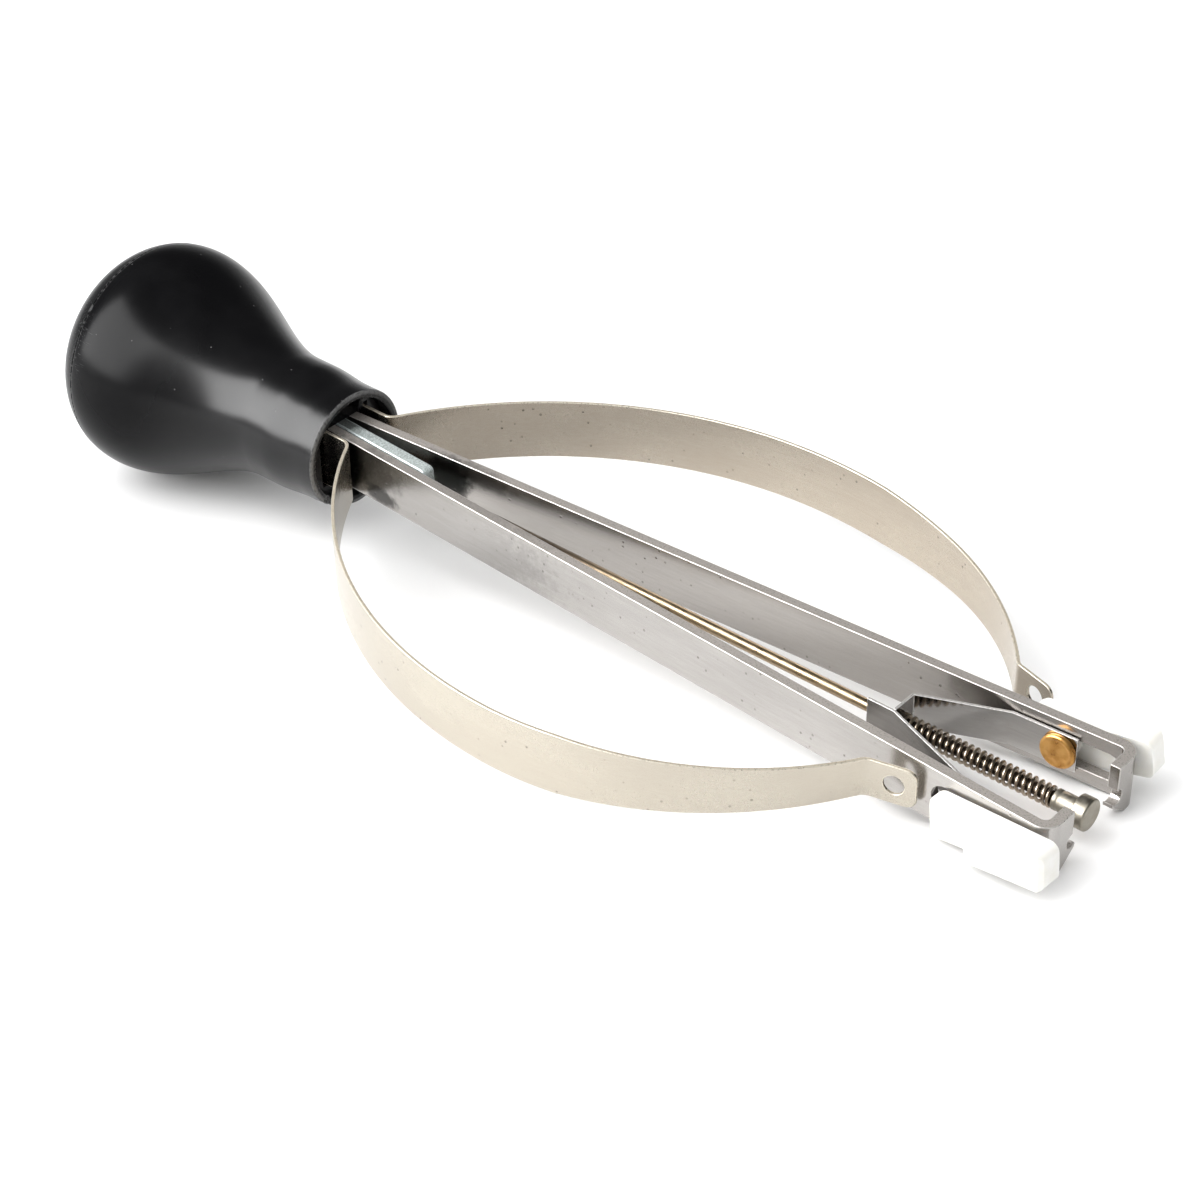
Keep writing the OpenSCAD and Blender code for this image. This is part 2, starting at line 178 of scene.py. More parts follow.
class Graph:
    """One material's node tree. Sockets go from call to call, and lengths are in millimetres."""

    def __init__(self, name):
        self.material = bpy.data.materials.new(name)
        self.material.use_nodes = True
        self.tree = self.material.node_tree
        self.shader = self.tree.nodes["Principled BSDF"]
        self.coords = self.tree.nodes.new("ShaderNodeTexCoord")

    def node(self, kind, inputs, **settings):
        made = self.tree.nodes.new("ShaderNode" + kind)
        for key, value in settings.items():
            setattr(made, key, value)
        for key, value in inputs.items():
            self.put(made.inputs[key], value)
        return made

    def put(self, socket, value):
        if isinstance(value, bpy.types.NodeSocket):
            self.tree.links.new(value, socket)
        else:
            socket.default_value = value

    def set(self, **inputs):
        for key, value in inputs.items():
            self.put(self.shader.inputs[key.replace("_", " ")], value)
        return self.material

    def maths(self, operation, a, b=0.0):
        return self.node("Math", {0: a, 1: b}, operation=operation).outputs[0]

    def place(self, stretch=(1, 1, 1), turn=(0, 0, 0)):
        scale = [s / MM for s in stretch]
        inputs = {"Vector": self.coords.outputs["Object"], "Scale": scale, "Rotation": turn}
        return self.node("Mapping", inputs).outputs[0]

    def axis(self, name, source="Object"):
        split = self.node("SeparateXYZ", {0: self.coords.outputs[source]})
        value = split.outputs[name]
        return value if source == "Normal" else self.maths("DIVIDE", value, MM)

    def noise(self, vector, scale, detail=3.0, rough=0.55):
        inputs = {"Vector": vector, "Scale": scale, "Detail": detail, "Roughness": rough}
        return self.node("TexNoise", inputs).outputs[0]

    def cells(self, vector, scale):
        return self.node("TexVoronoi", {"Vector": vector, "Scale": scale}).outputs["Distance"]

    def between(self, value, low, high, at_low=0.0, at_high=1.0):
        inputs = {"Value": value, 1: low, 2: high, 3: at_low, 4: at_high}
        return self.node("MapRange", inputs, interpolation_type="SMOOTHSTEP").outputs[0]

    def mix(self, factor, a, b):
        return self.node("Mix", {0: factor, 6: a, 7: b}, data_type="RGBA").outputs[2]

    def near(self, point, radii):
        """Distance from a point in units of radii, 1 at the edge of the ellipsoid."""
        scale = [1 / r for r in radii]
        shift = [-p / r for p, r in zip(point, radii)]
        inputs = {"Vector": self.place(), "Scale": scale, "Location": shift}
        moved = self.node("Mapping", inputs).outputs[0]
        return self.node("VectorMath", {0: moved}, operation="LENGTH").outputs["Value"]

    def bump(self, height, distance, strength=1.0, normal=None):
        inputs = {"Height": height, "Distance": distance * MM, "Strength": strength}
        if normal is not None:
            inputs["Normal"] = normal
        return self.node("Bump", inputs).outputs[0]


def grey(level, warm=0.0):
    """An opaque grey; warm above 0 shifts it towards orange."""
    return (level * (1 + warm), level, level * (1 - warm), 1)


def dimmed(colour, factor):
    return tuple(factor * c for c in colour[:3]) + (1,)


def shade_and_grime_spots(g, base, spots):
    """Base colour darkened in cloudy spots, partly grime and partly painted shade near the knob's mouth;
    each spot is (point, radii, strength).
    """
    ragged = g.noise(g.place(), 0.55, 5, 0.65)
    for point, radii, strength in spots:
        edge = g.maths("ADD", g.near(point, radii), g.maths("MULTIPLY", ragged, 1.1))
        mask = g.between(edge, 1.1, 1.65, strength, 0.0)
        # One near-black colour for both the painted shade and the grime of the spots
        base = g.mix(mask, base, grey(0.035, 0.05))
    return base


def satin_metal(name, tones, roughness, along, spots=(), pit_scale=0.55, pit_size=0.17):
    """Rolled strip: quiet faces with rolling lines and pits, and coarse sheared edges above and below.

    The tones are the lighter and the darker tone of the faces, and that of the sheared edges."""
    face, shade, sheared = tones
    g = Graph(name)
    clouds = g.noise(g.place((0.3, 1, 1)), 0.12, 4, 0.5)
    lines = g.noise(g.place(along), 1.0, 4, 0.6)
    grain = g.noise(g.place(), 5.5, 3, 0.6)
    pits = g.between(g.cells(g.place(), pit_scale), pit_size * 0.45, pit_size, 1.0, 0.0)
    blotch = g.between(g.noise(g.place(), 0.2, 2), 0.45, 0.6)
    pits = g.maths("MULTIPLY", pits, blotch)
    tone = g.maths("ADD", g.maths("MULTIPLY", clouds, 0.55), g.maths("MULTIPLY", lines, 0.45))
    colour = g.mix(g.between(tone, 0.25, 0.75), shade, face)
    colour = g.mix(g.maths("MULTIPLY", pits, 0.55), colour, grey(0.08, 0.1))
    edge_on = g.between(g.maths("ABSOLUTE", g.axis("Z", "Normal")), 0.75, 0.9)
    tears = g.noise(g.place(), 3.2, 4, 0.7)
    torn = g.mix(g.between(tears, 0.33, 0.5), dimmed(sheared, 0.5), sheared)
    colour = g.mix(edge_on, colour, torn)
    colour = shade_and_grime_spots(g, colour, spots)
    rough = g.maths("ADD", g.maths("MULTIPLY", grain, 0.5), g.maths("MULTIPLY", clouds, 0.5))
    rough = g.between(rough, 0.3, 0.7, roughness * 0.85, roughness * 1.15)
    rough = g.maths("ADD", rough, g.maths("MULTIPLY", edge_on, 0.4))
    metallic = g.between(edge_on, 0.0, 1.0, 1.0, 0.35)
    fine = g.maths("ADD", g.maths("MULTIPLY", grain, 0.5), g.maths("MULTIPLY", lines, 0.5))
    normal = g.bump(fine, 0.01, 0.5)
    normal = g.bump(g.maths("MULTIPLY", tears, edge_on), 0.05, 0.5, normal)
    normal = g.bump(g.maths("SUBTRACT", 1.0, pits), 0.05, 0.8, normal)
    return g.set(Base_Color=colour, Metallic=metallic, Roughness=rough, Normal=normal)


def rubbed_and_highlit_edge(name, colour, roughness=0.3):
    """The bright line along a corner, partly rubbed metal and partly a painted highlight, broken by dull
    dots.
    """
    g = Graph(name)
    dots = g.noise(g.place(), 2.3, 4, 0.7)
    tone = g.mix(g.between(dots, 0.34, 0.5), dimmed(colour, 0.45), colour)
    rough = g.between(dots, 0.3, 0.7, roughness * 1.5, roughness)
    normal = g.bump(g.noise(g.place(), 4.0, 3), 0.015, 0.6)
    return g.set(Base_Color=tone, Metallic=0.5, Roughness=rough, Normal=normal)


def zinc(name):
    """Bluish zinc plate with crystalline speckle."""
    g = Graph(name)
    crystals = g.cells(g.place(), 3.2)
    speckle = g.noise(g.place(), 4.5, 4, 0.7)
    mixed = g.maths("ADD", g.maths("MULTIPLY", crystals, 0.5), g.maths("MULTIPLY", speckle, 0.6))
    colour = g.mix(g.between(mixed, 0.3, 0.75), (0.33, 0.38, 0.37, 1), (0.64, 0.70, 0.69, 1))
    # Painted shade where the tang goes into the knob's mouth
    colour = shade_and_grime_spots(g, colour, [((-4, 1, 5), (7, 5, 5), 0.8)])
    rough = g.between(speckle, 0.3, 0.7, 0.3, 0.45)
    normal = g.bump(mixed, 0.03, 0.7)
    return g.set(Base_Color=colour, Metallic=0.45, Roughness=rough, Normal=normal)


def drawn_metal(name, light, dark, roughness, stretch=(0.06, 3, 3), unmarked=None):
    """Wire, rod or turned metal, with fine lines along or round it.

    Where a stretch (start and end along X) is given, painted shade darkens and roughens the rest."""
    g = Graph(name)
    lines = g.noise(g.place(stretch), 1.0, 4, 0.7)
    patches = g.noise(g.place(), 0.5, 4, 0.6)
    tone = g.maths("ADD", g.maths("MULTIPLY", lines, 0.55), g.maths("MULTIPLY", patches, 0.45))
    colour = g.mix(g.between(tone, 0.33, 0.62), dark, light)
    normal = g.bump(lines, 0.01, 0.5)
    rough = g.between(patches, 0.3, 0.7, roughness * 0.75, roughness * 1.3)
    if unmarked is not None:
        # Painted shade on the rod: behind the stretch, where it lies in the dark gap between the bars,
        # and in front of it, inside the coil
        behind = g.between(g.axis("X"), unmarked[0] - 25, unmarked[0], 1.0, 0.0)
        painted_shade = g.maths("MAXIMUM", behind, g.between(g.axis("X"), unmarked[1], unmarked[1] + 3))
        colour = g.mix(painted_shade, colour, grey(0.08, 0.25))
        rough = g.maths("ADD", rough, g.maths("MULTIPLY", painted_shade, 0.2))
    return g.set(Base_Color=colour, Metallic=1.0, Roughness=rough, Normal=normal)


def brass(name):
    """Golden rivet with small dents and tarnish."""
    g = Graph(name)
    tarnish = g.noise(g.place(), 0.5, 3, 0.5)
    dents = g.noise(g.place(), 1.6, 2, 0.5)
    colour = g.mix(g.between(tarnish, 0.35, 0.68), (0.42, 0.20, 0.05, 1), (0.60, 0.33, 0.10, 1))
    rough = g.between(tarnish, 0.3, 0.7, 0.26, 0.36)
    normal = g.bump(dents, 0.03, 0.5)
    return g.set(Base_Color=colour, Metallic=0.85, Roughness=rough, Normal=normal)


def nylon(name):
    """White moulded nylon with a soft sheen and faint grubby marks."""
    g = Graph(name)
    cloud = g.noise(g.place(), 0.35, 4, 0.6)
    marks = g.between(g.noise(g.place((0.7, 2, 2)), 0.8, 5, 0.75), 0.66, 0.78)
    colour = g.mix(g.between(cloud, 0.3, 0.7), (0.74, 0.73, 0.69, 1), (0.79, 0.785, 0.755, 1))
    colour = g.mix(g.maths("MULTIPLY", marks, 0.35), colour, grey(0.42, 0.06))
    rough = g.between(cloud, 0.3, 0.7, 0.36, 0.5)
    normal = g.bump(g.noise(g.place(), 3.0, 3), 0.02, 0.5)
    depth = (1.2 * MM, 1.1 * MM, 0.9 * MM)
    g.set(Subsurface_Weight=0.35, Subsurface_Radius=depth, Subsurface_Scale=1.0)
    return g.set(Base_Color=colour, Roughness=rough, Normal=normal)


def black_plastic(name, wear_and_rim_highlight=True):
    """Satin black moulding, shinier along the neck than on the ball.

    The flag adds dust specks, scratches, a dusty seam, a rim that is partly rubbed and partly painted
    highlight on its outer corner, and whitened tears at the mouth."""
    g = Graph(name)
    wear = g.noise(g.place(), 0.09, 3, 0.5)
    haze = g.noise(g.place(), 1.1, 4, 0.6)
    unmarked = (0.0032, 0.0032, 0.0036, 1)
    handled = (0.0055, 0.0055, 0.006, 1)
    colour = g.mix(g.between(wear, 0.35, 0.75), unmarked, handled)
    rough = g.maths("ADD", g.maths("MULTIPLY", wear, 0.6), g.maths("MULTIPLY", haze, 0.4))
    rough = g.between(rough, 0.3, 0.7, 0.22, 0.27)
    shine = g.between(g.axis("X"), -42, -24, 0.055, 0.2)
    normal = g.bump(haze, 0.01, 0.15)
    if wear_and_rim_highlight:
        specks = g.between(g.cells(g.place(), 0.33), 0.03, 0.05, 1.0, 0.0)
        fine_lines = g.noise(g.place((0.3, 5, 5), (0.5, 0.3, 0.9)), 1.0, 3, 0.7)
        scuffed = g.between(g.near(SCUFF_PLACE, SCUFF_REACH), 0.55, 1.1, 1.0, 0.0)
        scratches = g.maths("MULTIPLY", g.between(fine_lines, 0.6, 0.68), scuffed)
        seam_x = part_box("handle_shell")[0].x / MM
        from_seam = g.maths("ABSOLUTE", g.maths("SUBTRACT", g.axis("X"), seam_x))
        seam = g.between(from_seam, SEAM_WIDTH / 3, SEAM_WIDTH, 1.0, 0.0)
        seam = g.maths("MULTIPLY", seam, g.between(g.noise(g.place(), 1.1, 4, 0.7), 0.5, 0.6))
        marks = g.maths("MAXIMUM", specks, g.maths("MULTIPLY", scratches, 0.8))
        marks = g.maths("MAXIMUM", marks, seam)
        # The rim: partly rubbed plastic, partly a painted highlight on the outer rounded corner of the
        # mouth
        rim = g.between(g.axis("X"), -RIM_ROUND, -0.05)
        ragged = g.between(g.noise(g.place(), 1.9, 5, 0.75), 0.32, 0.58, 0.3, 1.0)
        rim = g.maths("MULTIPLY", rim, ragged)
        from_axis = g.near((0, 0, 0), (1000, 1, 1))
        outer_corner = g.between(from_axis, NECK_R - 1.0, NECK_R - 0.5, 0.1, 1.0)
        rim = g.maths("MULTIPLY", rim, outer_corner)
        torn = g.between(g.near(TEAR_PLACE, TEAR_REACH), 0.5, 1.05, 1.0, 0.0)
        streaks = g.noise(g.place((0.6, 3, 3), (0.2, 0.9, 0.4)), 1.2, 5, 0.75)
        torn = g.maths("MULTIPLY", torn, g.between(streaks, 0.53, 0.63))
        colour = g.mix(g.maths("MULTIPLY", marks, 0.55), colour, grey(0.16))
        # Lighter grey on the rim's outer corner: rubbing and painted highlight
        colour = g.mix(g.maths("MULTIPLY", rim, 0.85), colour, grey(0.14))
        colour = g.mix(g.maths("MULTIPLY", torn, 0.8), colour, grey(0.3))
        rough = g.maths("ADD", rough, g.maths("MULTIPLY", g.maths("MAXIMUM", rim, marks), 0.25))
        normal = g.bump(g.maths("SUBTRACT", 1.0, scratches), 0.02, 0.6, normal)
        normal = g.bump(g.maths("MULTIPLY", g.noise(g.place(), 3.0, 4, 0.7), rim), 0.1, 0.7, normal)
    return g.set(Base_Color=colour, Roughness=rough, Normal=normal, Specular_IOR_Level=shine)


# ---------------------------------------------------------------- mesh helpers


def finish_mesh(name, bm, materials):
    """Turns a bmesh into an object with smooth faces, sharp corners and area-weighted normals."""
    bmesh.ops.recalc_face_normals(bm, faces=bm.faces)
    mesh = bpy.data.meshes.new(name)
    bm.to_mesh(mesh)
    bm.free()
    for material in materials:
        mesh.materials.append(material)
    mesh.shade_smooth()
    mesh.set_sharp_from_angle(angle=math.radians(40))
    piece = bpy.data.objects.new(name, mesh)
    bpy.context.scene.collection.objects.link(piece)
    weighted = piece.modifiers.new("flat_faces", "WEIGHTED_NORMAL")
    weighted.keep_sharp = True
    return piece


def register(piece, body, slot, *nodes):
    """Puts a finished piece on its body and in place of its CAD nodes; the slot is not used."""
    if body is not None:
        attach(piece, body)
    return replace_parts(piece, *nodes)


def softened(node, name, kind, materials, segments=3, short_edge=SHORT_EDGE, clamp=False):
    """A CAD node's solid with every corner rounded; the rounded corners take the last material.

    Short edges are closed up first, because they would fold the rounding over. With clamp, the
    rounding shrinks where it would overlap."""
    bm = bmesh.new()
    bm.from_mesh(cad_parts[node].data)
    for face in bm.faces:
        face.material_index = 0
    flat = math.radians(0.4)
    corner = math.radians(28)
    bmesh.ops.remove_doubles(bm, verts=bm.verts, dist=short_edge * MM)
    bmesh.ops.dissolve_limit(bm, angle_limit=flat, verts=bm.verts, edges=bm.edges)
    corners = [e for e in bm.edges if e.is_manifold and e.calc_face_angle(0) > corner]
    bmesh.ops.bevel(
        bm, geom=corners, offset=ROUNDING[kind] * MM, segments=segments, profile=0.5, affect="EDGES",
        clamp_overlap=clamp, material=len(materials) - 1, offset_type="OFFSET",
    )
    bmesh.ops.dissolve_degenerate(bm, dist=SLIVER * MM, edges=bm.edges)
    return finish_mesh(name, bm, materials)


def ring(bm, centre, x, radius, steps, frame_matrix):
    """A ring of vertices round local X, or one vertex where the radius is nothing."""
    if radius < POINT_R:
        steps = 1
        radius = 0.0
    made = []
    for i in range(steps):
        angle = 2 * math.pi * i / steps
        point = (x, centre[0] + radius * math.cos(angle), centre[1] + radius * math.sin(angle))
        made.append(bm.verts.new(frame_matrix @ Vector(point) * MM))
    return made


def bridge(bm, a, b):
    """Faces between two rings, either of which may be a single vertex."""
    steps = max(len(a), len(b))
    for i in range(steps):
        j = (i + 1) % steps
        corners = [a[i % len(a)], a[j % len(a)], b[j % len(b)], b[i % len(b)]]
        unique = list(dict.fromkeys(corners))
        if len(unique) > 2:
            bm.faces.new(unique)


def lathe(bm, profile, centre=(0, 0), steps=RING_STEPS, frame_matrix=Matrix(), closed=False):
    """Turns a profile of (x, radius) points round the local X axis through centre (y, z)."""
    rings = [ring(bm, centre, x, r, steps, frame_matrix) for x, r in profile]
    pairs = list(zip(rings, rings[1:]))
    if closed:
        pairs.append((rings[-1], rings[0]))
    for a, b in pairs:
        bridge(bm, a, b)


def arc(centre_x, centre_r, radius, start, end, steps):
    """Points (x, r) of an arc from start to end degrees; 0 points along +X and 90 away from the axis."""
    angles = [math.radians(start + (end - start) * i / steps) for i in range(steps + 1)]
    return [(centre_x + radius * math.cos(a), centre_r + radius * math.sin(a)) for a in angles]


def ease(t):
    """Smooth rise from 0 to 1."""
    return t * t * (3 - 2 * t)


def spread(low, high, count):
    """Evenly spaced values from low to high, both included."""
    return [low + (high - low) * i / count for i in range(count + 1)]


# ---------------------------------------------------------------- knob


def knob_radius(d, back, ball_r):
    """Outer radius of the knob at a distance d behind its mouth."""
    if d <= LAND_LEN:
        return NECK_R
    if d <= LAND_END:
        return NECK_R + (GRIP_R - NECK_R) * ease((d - LAND_LEN) / (LAND_END - LAND_LEN))
    if d <= SWELL_START:
        return GRIP_R
    if d <= BALL_X:
        return GRIP_R + (ball_r - GRIP_R) * ease((d - SWELL_START) / (BALL_X - SWELL_START))
    inside = 1 - ((d - BALL_X) / (back - BALL_X)) ** BALL_POWER
    return ball_r * max(0.0, inside) ** (1 / BALL_POWER)


def chip_rim(bm):
    """Breaks and frays the rim of the mouth along its lower near side."""
    for vert in bm.verts:
        x, y, z = (c / MM for c in vert.co)
        radius = math.hypot(y, z)
        if x < -CHIP_REACH or radius < SOCKET_R - 0.2:
            continue
        away = abs((math.degrees(math.atan2(z, y)) - CHIP_ANGLE + 180) % 360 - 180)
        weight = ease(max(0.0, 1 - away / CHIP_HALF_WIDTH))
        weight *= ease(min(1.0, (x + CHIP_REACH) / CHIP_FADE))
        place = Vector((x, y, z))
        rough = noise.noise(place * 0.9) + 0.5 * noise.noise(place * 2.3)
        dent = noise.noise(Vector((y * 0.7 + 9, z * 0.7, x * 0.4)))
        depth = weight * CHIP_DEPTH * (0.35 + 0.65 * abs(rough))
        shrink = 1 - weight * (0.02 + 0.05 * max(0.0, dent + 0.2 * rough))
        vert.co = Vector((x - depth, y * shrink, z * shrink)) * MM


def mouth_rib(bm):
    """A small rib inside the top of the mouth."""
    length, width, height = (s * MM for s in RIB_SIZE)
    rib = bmesh.ops.create_cube(bm, size=1.0)["verts"]
    middle = Vector((-RIB_START * MM - length / 2, 0, (SOCKET_R + RIB_SUNK) * MM - height / 2))
    turned = Matrix.Rotation(RIB_TURN, 3, "X")
    for vert in rib:
        corner = Vector((vert.co.x * length, vert.co.y * width, vert.co.z * height))
        vert.co = turned @ (corner + middle)
    edges = list({edge for vert in rib for edge in vert.link_edges})
    bmesh.ops.bevel(bm, geom=edges, offset=RIB_ROUND * MM, segments=3, profile=0.5, affect="EDGES")


def knob_sizes():
    """How far behind the mouth the seam and the back are, and the radii of the ball and the seam."""
    shell_low, shell_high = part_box("handle_shell")
    cap_low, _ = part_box("end_cap")
    seam = -shell_low.x / MM
    back = -cap_low.x / MM
    ball_r = shell_high.y / MM
    return seam, back, ball_r, knob_radius(seam, back, ball_r)


def handle_shell():
    seam, back, ball_r, seam_r = knob_sizes()
    outer = arc(-RIM_ROUND, NECK_R - RIM_ROUND, RIM_ROUND, 0, 90, 8)
    outer += [(-d, knob_radius(d, back, ball_r)) for d in spread(RIM_ROUND + 0.3, LAND_END, 16)]
    outer += [(-d, knob_radius(d, back, ball_r)) for d in spread(SWELL_START, seam - SEAM_ROUND, 90)]
    outer += arc(-seam + SEAM_ROUND, seam_r - SEAM_ROUND, SEAM_ROUND, 110, 180, 4)
    inner = [(-seam, seam_r - WALL)]
    inner += [(-d, knob_radius(d, back, ball_r) - WALL) for d in spread(seam - 0.5, CAVITY_X, 14)]
    inner += [(-CAVITY_X + WALL, SOCKET_R), (-6.0, SOCKET_R), (-3.0, SOCKET_R), (-1.2, SOCKET_R)]
    inner += arc(-RIM_ROUND, SOCKET_R + RIM_ROUND, RIM_ROUND, 270, 360, 5)
    bm = bmesh.new()
    lathe(bm, outer + inner, closed=True)
    chip_rim(bm)
    mouth_rib(bm)
    piece = finish_mesh("knob_shell", bm, [black_plastic("knob_black")])
    register(piece, "grip", "knob_plastic", "handle_shell")


def end_cap():
    """The back of the ball, with a hollow spigot that sits inside the shell."""
    seam, back, ball_r, seam_r = knob_sizes()
    dome_start = seam + CAP_GAP + SEAM_ROUND
    dome = arc(-dome_start, seam_r - SEAM_ROUND, SEAM_ROUND, 0, 70, 4)
    for angle in spread(1.5, 90, 59):
        d = dome_start + (back - dome_start) * math.sin(math.radians(angle))
        dome.append((-d, knob_radius(d, back, ball_r)))
    spigot_r = seam_r - WALL - CAP_GAP
    hollow_r = spigot_r - SPIGOT_WALL
    inner_back = back - WALL
    hollow = []
    for i in range(24):
        angle = math.radians(90 * i / 24)
        x = -inner_back + (inner_back - seam) * (1 - math.cos(angle))
        hollow.append((x, hollow_r * math.sin(angle)))
    spigot_end = -seam + SPIGOT_LEN
    spigot = [(spigot_end, hollow_r), (spigot_end, spigot_r), (-seam - CAP_GAP, spigot_r)]
    bm = bmesh.new()
    lathe(bm, hollow + spigot + dome)
    piece = finish_mesh("knob_cap", bm, [black_plastic("cap_black")])
    register(piece, "grip", "cap_plastic", "end_cap")


def socket_parts():
    """The plug inside the neck and the two cross pins through it."""
    black = black_plastic("plug_black", wear_and_rim_highlight=False)
    plug = softened("core_plug", "socket_plug", "plug", [black])
    register(plug, "grip", "plug_plastic", "core_plug")
    steel = drawn_metal("pin_steel", grey(0.6), grey(0.3), 0.3, (3, 0.1, 3))
    pins = softened("anchor_pins", "cross_pins", "pins", [steel])
    register(pins, "grip", "pin_steel", "anchor_pins")


# ---------------------------------------------------------------- bars, tang and bows


def frame_bars():
    # The far bar is painted darker than the near bar of the same steel: painted shade on its inner face,
    # which is the face seen
    tones = {
        "near": (grey(0.45, 0.04), grey(0.36, 0.045), grey(0.28, 0.08)),
        "far": (grey(0.38, 0.05), grey(0.31, 0.06), grey(0.26, 0.08)),
    }
    # Dark spots near the knob: painted shade, partly grime
    spots = {
        "near": [
            ((10.5, -4.5, -3.2), (4.6, 3, 2.0), 0.9),
            ((6, -4.5, 1.5), (11, 3, 5), 0.5),
            ((24, -5, -1), (34, 6, 14), 0.3),
        ],
        "far": [
            ((20, 3, 1), (6, 2, 6), 0.9),
            ((27, 4, 3.5), (9, 1.6, 2.2), 0.5),
        ],
    }
    along = (0.05, 2.5, 2.5)
    for side in ("near", "far"):
        steel = satin_metal(f"{side}_bar_steel", tones[side], 0.24, along, spots[side])
        line = rubbed_and_highlit_edge(f"{side}_bar_edge", grey(0.46, 0.05), 0.34)
        piece = softened(f"{side}_bar", f"{side}_side_bar", "bar", [steel, line])
        register(piece, "grip", "bar_steel", f"{side}_bar")


def tang():
    line = rubbed_and_highlit_edge("tang_edge", (0.56, 0.62, 0.62, 1), 0.36)
    skins = [zinc("tang_zinc"), line]
    piece = softened("tang_plate", "zinc_tang", "tang", skins, 4, SHORT_TANG_EDGE)
    register(piece, "grip", "tang_zinc", "tang_plate")


def bows():
    sheared = (0.40, 0.355, 0.28, 1)
    # The far bow is painted darker than the near bow of the same steel: painted shade on its inner face,
    # which is the face seen
    tones = {
        "near": ((0.475, 0.44, 0.375, 1), (0.44, 0.40, 0.34, 1), sheared),
        "far": ((0.455, 0.41, 0.345, 1), (0.40, 0.35, 0.29, 1), sheared),
    }
    # Painted shade where each bow comes out of the knob's mouth
    roots = {
        "near": (0.5, -8.5, 0),
        "far": (0.5, 8.5, 0),
    }
    along = (0.08, 1.2, 3)
    for side in ("near", "far"):
        spots = [(roots[side], (4.5, 6, 9), 0.85)]
        strip = satin_metal(f"{side}_bow_strip", tones[side], 0.26, along, spots)
        line = rubbed_and_highlit_edge(f"{side}_bow_edge", (0.60, 0.55, 0.46, 1))
        piece = softened(f"{side}_bow", f"{side}_bow_spring", "bow", [strip, line])
        register(piece, f"{side}_bow", "bow_steel", f"{side}_bow")


# ---------------------------------------------------------------- slider train


def bar_frame(side):
    """Local X points outwards through the bar and local Y along it.

    The origin is the rivet's place on the bar's outer face."""
    out = Vector((-math.sin(SPLAY), math.cos(SPLAY), 0))
    along = Vector((math.cos(SPLAY), math.sin(SPLAY), 0))
    outer_face = BAR_GAP + BAR_THICK / math.cos(SPLAY)
    origin = Vector((0, outer_face, 0)) + along * RIVET_ALONG[side]
    matrix = Matrix((
        (out.x, along.x, 0, origin.x),
        (out.y, along.y, 0, origin.y),
        (0, 0, 1, 0),
        (0, 0, 0, 1),
    ))
    return matrix if side == "far" else Matrix.Scale(-1, 4, (0, 1, 0)) @ matrix


def rivets():
    """A domed head with a raised rolled rim, and a shank that ends blind in the slider block."""
    gold = brass("rivet_brass")
    seat = -BAR_THICK - LEAF_GAP - LEAF_THICK - SEAT_GAP
    face = seat - HEAD_THICK
    tail = BLOCK_GAP + FLANGE_THICK - SHANK_COVER
    profile = [(face + 0.06, 0.0), (face + 0.04, 0.8), (face + 0.06, 1.7), (face + 0.14, 2.05)]
    profile += [(face + 0.1, 2.3), (face + 0.04, 2.45), (face + 0.03, 2.6), (face + 0.1, 2.8)]
    profile += arc(face + 0.5, HEAD_R - 0.4, 0.4, 150, 90, 5)
    profile += arc(seat - 0.25, HEAD_R - 0.2, 0.2, 90, 20, 4)
    profile += [(seat, HEAD_R - 0.3), (seat, SHANK_R + 0.05), (seat + 0.05, SHANK_R)]
    profile += [(tail - 0.2, SHANK_R), (tail, SHANK_R - 0.2), (tail, 0.0)]
    for side in ("near", "far"):
        bm = bmesh.new()
        lathe(bm, profile, steps=96, frame_matrix=bar_frame(side))
        piece = finish_mesh(f"{side}_head_rivet", bm, [gold])
        register(piece, "train", "rivet_brass", f"{side}_rivet")


def leaves():
    sheared = grey(0.34, 0.04)
    # The near leaf is painted much darker than the far leaf of the same steel: painted shade on the near
    # leaf
    tones = {
        "near": (grey(0.22, 0.06), grey(0.16, 0.07), sheared),
        "far": (grey(0.46, 0.03), grey(0.38, 0.04), sheared),
    }
    roughness = {"near": 0.3, "far": 0.13}
    along = (0.1, 1.5, 2.5)
    for side in ("near", "far"):
        name = f"{side}_leaf_steel"
        steel = satin_metal(name, tones[side], roughness[side], along, pit_scale=0.5, pit_size=0.06)
        line = rubbed_and_highlit_edge(f"{side}_leaf_edge", grey(0.6, 0.02))
        piece = softened(f"{side}_leaf", f"{side}_leaf_strip", "leaf", [steel, line])
        register(piece, "train", "leaf_steel", f"{side}_leaf")


def sliders():
    white = nylon("slider_nylon")
    for side in ("near", "far"):
        piece = softened(f"{side}_slider", f"{side}_slider_block", "slider", [white], 4, clamp=True)
        register(piece, "train", "slider_nylon", f"{side}_slider")


# ---------------------------------------------------------------- rod, spring and nut


def guide_rod():
    low, high = (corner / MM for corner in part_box("guide_rod"))
    radius = high.z
    centre = ((low.y + high.y) / 2, 0)
    profile = [(low.x, 0.0)] + arc(low.x + 0.3, radius - 0.3, 0.3, 180, 90, 4)
    profile += [(x, radius) for x in spread(low.x + 1, high.x - 1, 60)]
    profile += arc(high.x - 0.3, radius - 0.3, 0.3, 90, 0, 4) + [(high.x, 0.0)]
    bm = bmesh.new()
    lathe(bm, profile, centre, steps=48)
    light = (0.37, 0.285, 0.185, 1)
    dark = (0.31, 0.235, 0.145, 1)
    # Outside 72 to 118 mm the rod gets painted shade: between the bars and inside the coil
    straw = drawn_metal("rod_bronze", light, dark, 0.36, unmarked=(72, 118))
    piece = finish_mesh("sliding_guide_rod", bm, [straw])
    register(piece, "grip", "rod_steel", "guide_rod")


